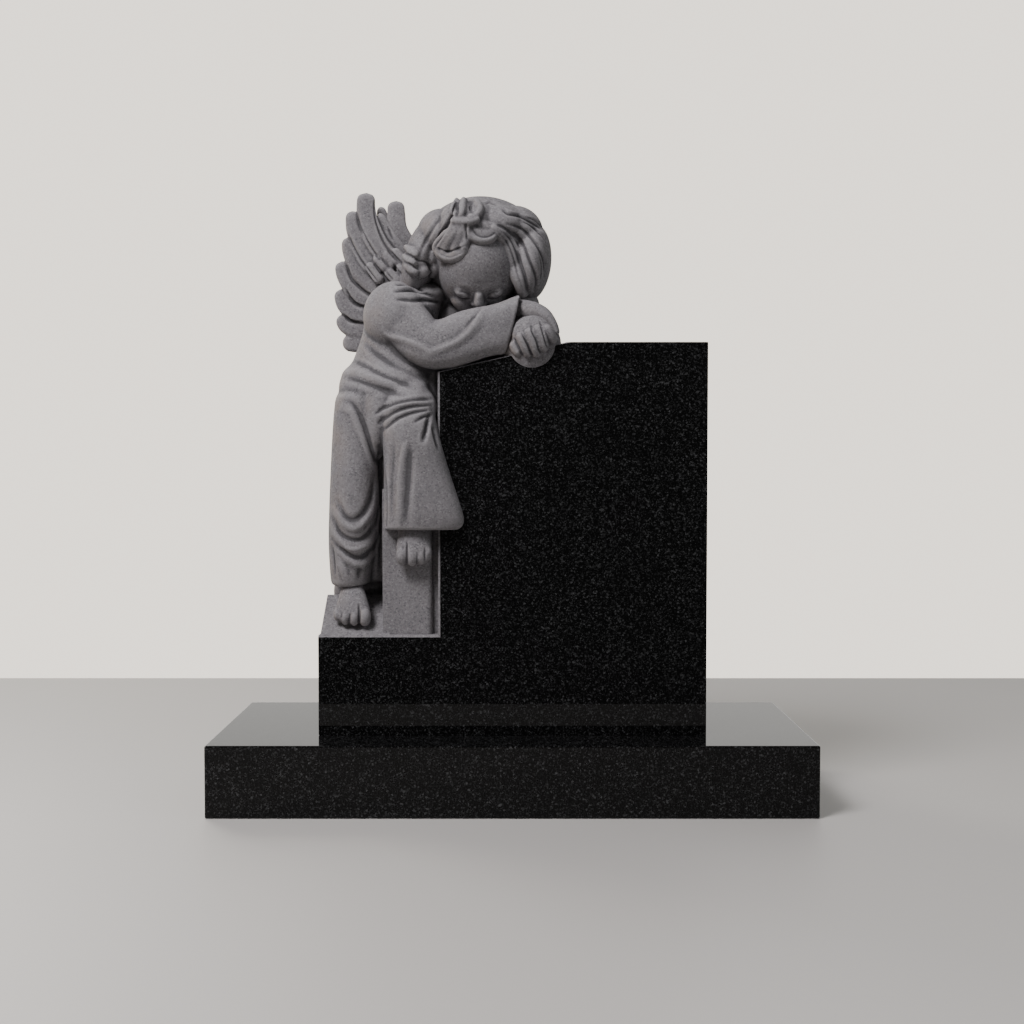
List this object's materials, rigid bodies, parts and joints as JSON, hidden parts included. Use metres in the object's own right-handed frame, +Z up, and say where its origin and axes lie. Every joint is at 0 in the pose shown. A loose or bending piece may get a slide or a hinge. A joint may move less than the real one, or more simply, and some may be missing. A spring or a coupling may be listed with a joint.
{
  "type": "headstone",
  "caption": "Upright polished granite headstone on a base slab, with a carved child angel that stands on a step and rests its head on the tablet's shoulder.",
  "frame": {"origin": "the middle of the base's underside", "axes": "+Z up; -Y out of the tablet's polished face, towards the viewer; +X to the viewer's right"},
  "size_m": [0.914, 0.356, 0.9542],
  "materials": {
    "polished_granite": "polished black granite with small light flecks",
    "carved_granite": "the same granite left unpolished, grey and matt"
  },
  "bodies": {
    "root": {"base": "polished_granite", "headstone": "carved_granite"}
  },
  "joints": []
}
